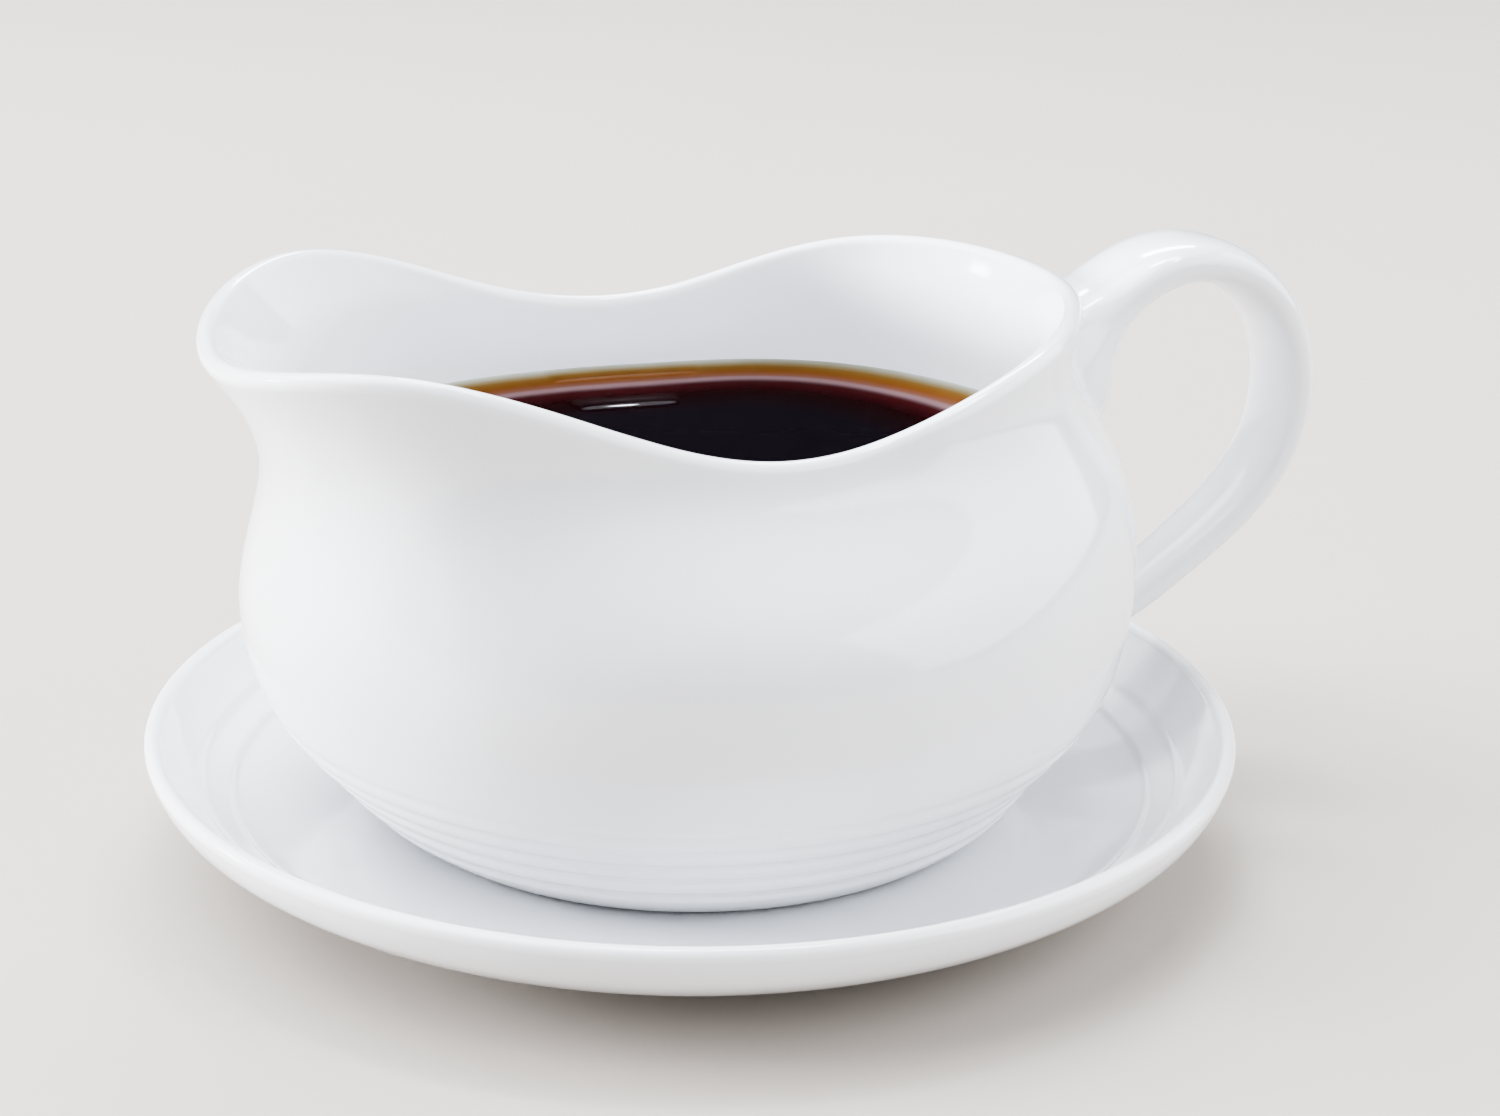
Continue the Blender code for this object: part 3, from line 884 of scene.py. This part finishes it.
def floor_finish(studio):
    """Pale warm plaster with faint clouds and grain."""
    finish = Finish("pale_floor")
    cloud = finish.noise(2.3, 4.0, 0.6)
    grain = finish.noise(240.0, 3.0)
    shade = finish.clouded(studio.floor, 1.03, finish.between(cloud, 0.3, 0.7))
    shade = finish.mix(finish.between(grain, 0.3, 0.8) * 0.05, shade, (0.50, 0.48, 0.45))
    distance = finish.node("ShaderNodeVectorMath", {"operation": "LENGTH"}, {0: finish.place}, output="Value")
    far = finish.mix(finish.between(distance, *FAR_FLOOR), (0.0, 0.0, 0.0), FAR_FLOOR_GLOW)
    return finish.close(Base_Color=shade, Roughness=0.75, Normal=finish.bump(grain, 0.08 * MM),
                        Emission_Color=far, Emission_Strength=1.0)


# ---------------------------------------------------------------- studio

# Soft lights: name, degrees round from the camera (left is negative), degrees up, width, height,
# watts, and whether the glaze mirrors the light
LIGHTS = (
    ("window_left", -90.0, 20.0, 2.6, 1.1, 9.0, True),
    ("window_high", -90.0, 60.0, 1.8, 1.8, 41.0, True),
    ("glow_left", -100.0, 8.0, 0.9, 0.6, 62.0, False),
    ("lamp_left", -100.0, 16.0, 0.20, 0.15, 2.0, True),
    ("panel_back", 180.0, 62.0, 1.8, 1.8, 13.0, True),
    ("panel_right", 90.0, 28.0, 2.4, 1.5, 34.0, True),
    ("glow_front_right", 45.0, 32.0, 2.0, 1.6, 10.0, False),
    ("glow_front", 0.0, 55.0, 2.2, 1.6, 4.0, False),
    ("lamp_back", 175.5, 48.5, 0.75, 0.18, 10.0, True),
    ("lamp_top", 103.6, 78.4, 0.45, 0.12, 3.0, True),
    ("lamp_high", 178.0, 78.0, 0.50, 0.16, 6.0, True),
)
LIGHT_COLOR = (0.925, 0.955, 1.0)
LIGHT_AIM = (0.0, 0.0, 0.04)
LIGHT_DISTANCE = 1.7
CAMERA_PLACE = (-0.12789, -0.36194, 0.17609)
CAMERA_TURN = (70.5206, -0.7446, -19.1370)
FLOOR_REACH = 5.0
FAR_FLOOR = (1.1, 2.0)                  # behind the lights the floor glows, to stay as pale as here
FAR_FLOOR_GLOW = (0.66, 0.645, 0.63)


def add_light(name, around, up, width, height, watts, mirrored):
    """A rectangle of soft light, turned to face the boat."""
    turn = math.radians(around + CAMERA_TURN[2])
    rise = math.radians(up)
    toward = Vector((math.sin(turn) * math.cos(rise), -math.cos(turn) * math.cos(rise), math.sin(rise)))
    lamp = bpy.data.lights.new(name, "AREA")
    lamp.shape = "RECTANGLE"
    lamp.size = width
    lamp.size_y = height
    lamp.energy = watts
    lamp.color = LIGHT_COLOR
    holder = bpy.data.objects.new(name, lamp)
    holder.visible_glossy = mirrored
    holder.location = Vector(LIGHT_AIM) + LIGHT_DISTANCE * toward
    holder.rotation_euler = (-toward).to_track_quat("-Z", "Y").to_euler()
    bpy.context.scene.collection.objects.link(holder)


def add_floor(studio):
    """One wide flat square under everything."""
    corners = [(x * FLOOR_REACH, y * FLOOR_REACH, 0.0) for x, y in ((-1, -1), (1, -1), (1, 1), (-1, 1))]
    mesh = bpy.data.meshes.new("floor")
    mesh.from_pydata(corners, [], [(0, 1, 2, 3)])
    mesh.materials.append(floor_finish(studio))
    floor = bpy.data.objects.new("floor", mesh)
    bpy.context.scene.collection.objects.link(floor)


def add_room(studio):
    """A dark room around the lights, and a film-like response to them."""
    world = bpy.data.worlds.new("room")
    world.use_nodes = True
    background = world.node_tree.nodes["Background"]
    background.inputs["Color"].default_value = (*studio.room, 1.0)
    background.inputs["Strength"].default_value = studio.room_strength
    bpy.context.scene.world = world
    bpy.context.scene.view_settings.view_transform = "AgX"
    bpy.context.scene.view_settings.look = "AgX - High Contrast"


def add_camera(studio):
    lens = bpy.data.cameras.new("camera")
    lens.lens = studio.lens
    lens.sensor_width = 36.0
    lens.clip_start = 0.01
    camera = bpy.data.objects.new("camera", lens)
    camera.location = CAMERA_PLACE
    camera.rotation_euler = [math.radians(turn) for turn in CAMERA_TURN]
    bpy.context.scene.collection.objects.link(camera)
    bpy.context.scene.camera = camera


# ---------------------------------------------------------------- operators

def shared_finish(name, make):
    """The named material, made the first time that it is asked for."""
    return bpy.data.materials.get(name) or make()


class BOAT_OT_bowl(bpy.types.Operator):
    """Build the glazed bowl with its spout, lip and turned rings"""
    bl_idname = "gravy_boat.bowl"
    bl_label = "Bowl"

    def execute(self, context):
        boat = context.scene.gravy_boat
        clay = shared_finish("bare_clay", lambda: clay_finish(boat.glaze))
        bowl = build_bowl(boat.bowl, [glaze_finish("bowl_glaze", boat.glaze), clay])
        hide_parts("boat_body")
        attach(bowl, "boat")
        return {"FINISHED"}


class BOAT_OT_handle(bpy.types.Operator):
    """Build the strap handle and its glazed roots"""
    bl_idname = "gravy_boat.handle"
    bl_label = "Handle"

    def execute(self, context):
        boat = context.scene.gravy_boat
        handle = build_handle(boat.bowl, boat.handle, [glaze_finish("handle_glaze", boat.glaze)])
        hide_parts("boat_handle")
        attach(handle, "boat")
        return {"FINISHED"}


class BOAT_OT_saucer(bpy.types.Operator):
    """Build the footed saucer with its stepped wall and rolled lip"""
    bl_idname = "gravy_boat.saucer"
    bl_label = "Saucer"

    def execute(self, context):
        boat = context.scene.gravy_boat
        clay = shared_finish("bare_clay", lambda: clay_finish(boat.glaze))
        saucer = build_saucer(boat.saucer, [glaze_finish("saucer_glaze", boat.glaze), clay])
        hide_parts("saucer")
        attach(saucer, "saucer")
        return {"FINISHED"}


class BOAT_OT_gravy(bpy.types.Operator):
    """Fill the bowl with gravy"""
    bl_idname = "gravy_boat.gravy"
    bl_label = "Gravy"

    def execute(self, context):
        boat = context.scene.gravy_boat
        gravy = build_gravy(boat.bowl, boat.gravy, gravy_finish())
        gravy.visible_diffuse = False   # the bowl's own bounce light is kept, as in a clear liquid
        gravy.visible_shadow = False
        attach(gravy, "boat")
        return {"FINISHED"}


class BOAT_OT_studio(bpy.types.Operator):
    """Lay the floor, hang the soft lights and place the camera"""
    bl_idname = "gravy_boat.studio"
    bl_label = "Studio"

    def execute(self, context):
        studio = context.scene.gravy_boat.studio
        add_camera(studio)
        add_floor(studio)
        add_room(studio)
        for light in LIGHTS:
            add_light(*light)
        return {"FINISHED"}


class BOAT_PT_panel(bpy.types.Panel):
    """The gravy boat's pieces, in the order in which they are made"""
    bl_idname = "BOAT_PT_panel"
    bl_label = "Gravy Boat"
    bl_space_type = "VIEW_3D"
    bl_region_type = "UI"
    bl_category = "Gravy Boat"

    def draw(self, context):
        for operator in OPERATORS:
            self.layout.operator(operator.bl_idname)
        boat = context.scene.gravy_boat
        for group in (boat.saucer, boat.bowl, boat.handle, boat.gravy, boat.glaze, boat.studio):
            box = self.layout.box()
            for name in group.__annotations__:
                box.prop(group, name)


OPERATORS = (BOAT_OT_studio, BOAT_OT_saucer, BOAT_OT_bowl, BOAT_OT_handle, BOAT_OT_gravy)
CLASSES = (SaucerSettings, BowlSettings, HandleSettings, GravySettings, GlazeSettings, StudioSettings,
           BoatSettings, BOAT_PT_panel) + OPERATORS


def register():
    for cls in CLASSES:
        bpy.utils.register_class(cls)
    bpy.types.Scene.gravy_boat = PointerProperty(type=BoatSettings)


def unregister():
    del bpy.types.Scene.gravy_boat
    for cls in reversed(CLASSES):
        bpy.utils.unregister_class(cls)


def main():
    register()
    bpy.ops.gravy_boat.studio()
    bpy.ops.gravy_boat.saucer()
    bpy.ops.gravy_boat.bowl()
    bpy.ops.gravy_boat.handle()
    bpy.ops.gravy_boat.gravy()


if __name__ == "__main__":
    main()
